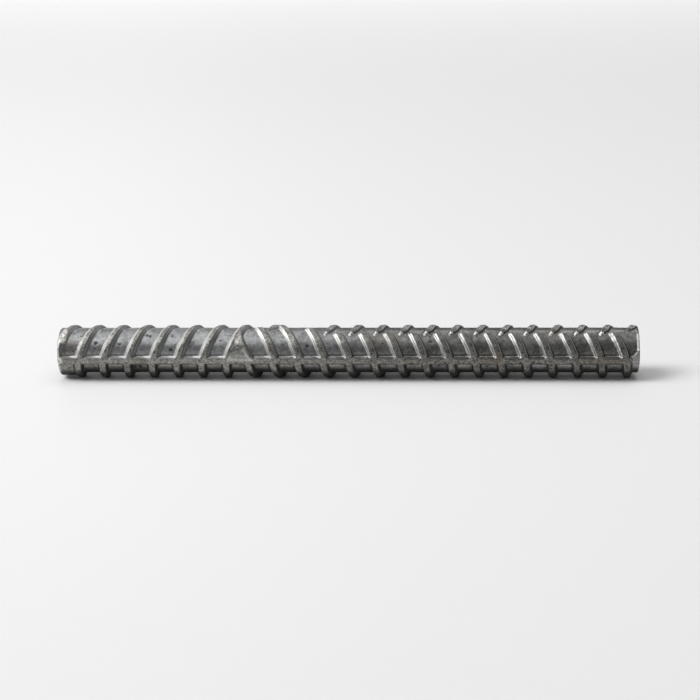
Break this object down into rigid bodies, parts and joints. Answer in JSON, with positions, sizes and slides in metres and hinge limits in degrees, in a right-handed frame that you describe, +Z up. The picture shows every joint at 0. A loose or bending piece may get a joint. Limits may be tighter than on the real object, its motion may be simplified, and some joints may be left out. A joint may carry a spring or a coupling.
{
  "type": "deformed reinforcing bar",
  "caption": "Short cut length of deformed steel reinforcing bar: a round core with lengthwise ribs and slanted cross ribs that key into concrete.",
  "frame": {"origin": "on the floor line under the middle of the bar's length", "axes": "+X along the bar, -Y the side that the picture shows, +Z up"},
  "size_m": [0.2, 0.0182, 0.0182],
  "materials": {
    "mill_steel": "hot-rolled mill scale, satin dark grey, with brighter worn edges on the ribs"
  },
  "bodies": {
    "root": {"rebar": "mill_steel"}
  },
  "joints": []
}
